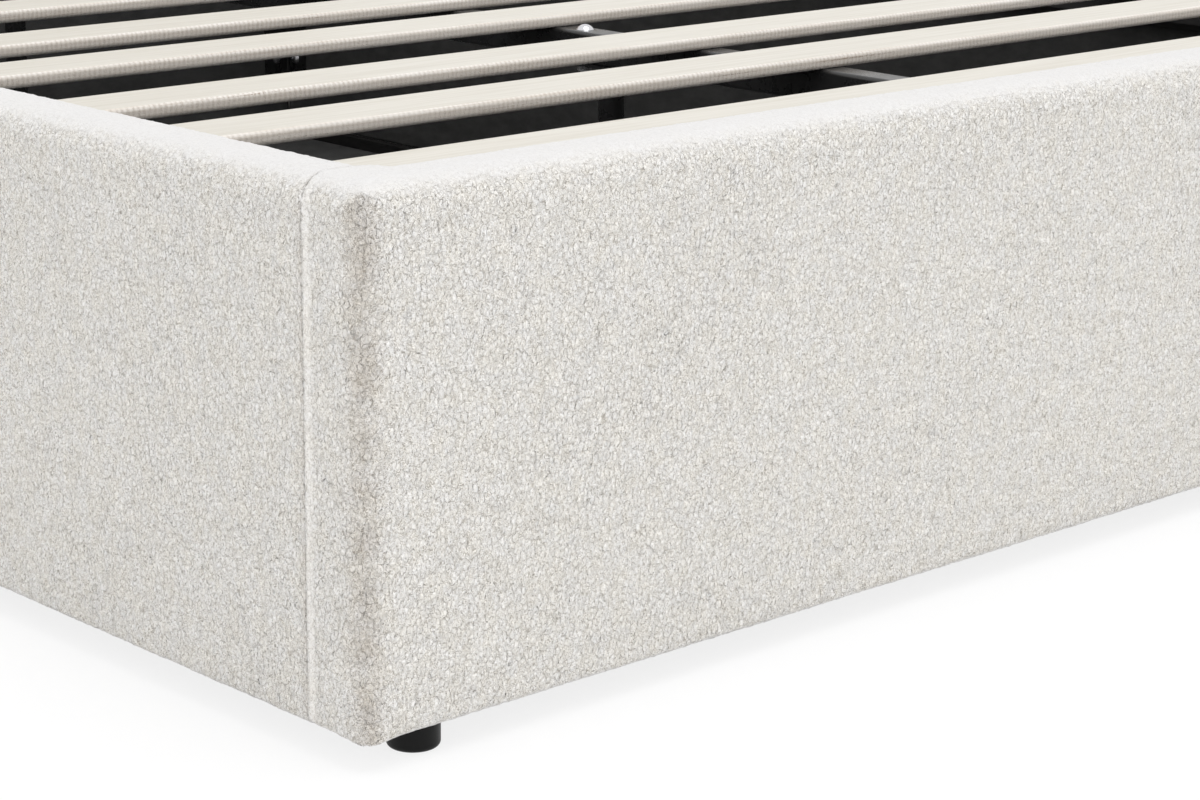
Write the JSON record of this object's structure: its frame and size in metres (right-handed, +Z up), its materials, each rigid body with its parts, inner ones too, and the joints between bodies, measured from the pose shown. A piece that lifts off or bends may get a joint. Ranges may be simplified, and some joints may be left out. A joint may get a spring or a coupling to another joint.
{
  "type": "upholstered headboard bed",
  "caption": "Double bed frame with boucle-covered rails, footboard and channelled headboard, timber slats on ledges and a steel centre beam on adjustable legs.",
  "frame": {"origin": "on the floor under the middle of the bed", "axes": "+Y from the foot end to the headboard, +X to the right seen from the foot end, +Z up"},
  "size_m": [1.504, 2.069, 1.12],
  "materials": {
    "boucle": "matt ivory boucle with dense small curls",
    "foam": "open-cell upholstery foam",
    "facing_board": "plain hardboard",
    "frame_timber": "sawn softwood",
    "black_lining": "black non-woven cloth on board",
    "black_cloth": "black non-woven cloth",
    "slat_veneer": "cream laminated birch with rounded, stippled edges",
    "ledge_timber": "planed softwood",
    "zinc_screw": "zinc plated",
    "chrome_bolt": "bright plated",
    "black_steel": "semi-gloss black powder coat",
    "black_plastic": "fine satin moulded plastic",
    "leveller_plastic": "fine satin moulded plastic"
  },
  "bodies": {
    "bed_frame": {"footboard_frame": "frame_timber", "footboard_facing": "facing_board", "footboard_foam": "foam", "footboard_cover": "boucle", "footboard_lining": "black_lining", "rail_left_frame": "frame_timber", "rail_left_facing": "facing_board", "rail_left_foam": "foam", "rail_left_cover": "boucle", "rail_left_lining": "black_lining", "rail_right_frame": "frame_timber", "rail_right_facing": "facing_board", "rail_right_foam": "foam", "rail_right_cover": "boucle", "rail_right_lining": "black_lining", "headboard_frame": "frame_timber", "headboard_facing": "facing_board", "headboard_foam": "foam", "headboard_cover": "boucle", "headboard_lining": "black_lining", "headboard_back_panel": "black_lining", "slat_01": "slat_veneer", "slat_02": "slat_veneer", "slat_03": "slat_veneer", "slat_04": "slat_veneer", "slat_05": "slat_veneer", "slat_06": "slat_veneer", "slat_07": "slat_veneer", "slat_08": "slat_veneer", "slat_09": "slat_veneer", "slat_10": "slat_veneer", "slat_11": "slat_veneer", "slat_ledge_left": "ledge_timber", "slat_ledge_right": "ledge_timber", "slat_screws": "zinc_screw", "centre_beam": "black_steel", "beam_hanger_foot": "black_steel", "beam_hanger_head": "black_steel", "hanger_bolts": "chrome_bolt", "centre_leg_foot": "black_steel", "centre_leg_head": "black_steel", "leg_plug_foot": "black_plastic", "leg_plug_head": "black_plastic", "leg_bolts": "chrome_bolt", "leg_nuts": "chrome_bolt", "bracket_foot_left": "black_steel", "bracket_foot_right": "black_steel", "bracket_head_left": "black_steel", "bracket_head_right": "black_steel", "bracket_bolts": "chrome_bolt", "base_cloth": "black_cloth", "cloth_cleat_left": "ledge_timber", "cloth_cleat_right": "ledge_timber", "glides_foot": "black_plastic", "glides_head": "black_plastic", "glide_screws": "zinc_screw"},
    "leveller_foot": {"leveller_foot": "leveller_plastic"},
    "leveller_head": {"leveller_head": "leveller_plastic"}
  },
  "joints": [
    {"name": "leveller_foot_travel", "type": "slide", "parent": "bed_frame", "child": "leveller_foot", "axis": [0, 0, -1], "range_m": [0, 0.015]},
    {"name": "leveller_head_travel", "type": "slide", "parent": "bed_frame", "child": "leveller_head", "axis": [0, 0, -1], "range_m": [0, 0.015]}
  ]
}
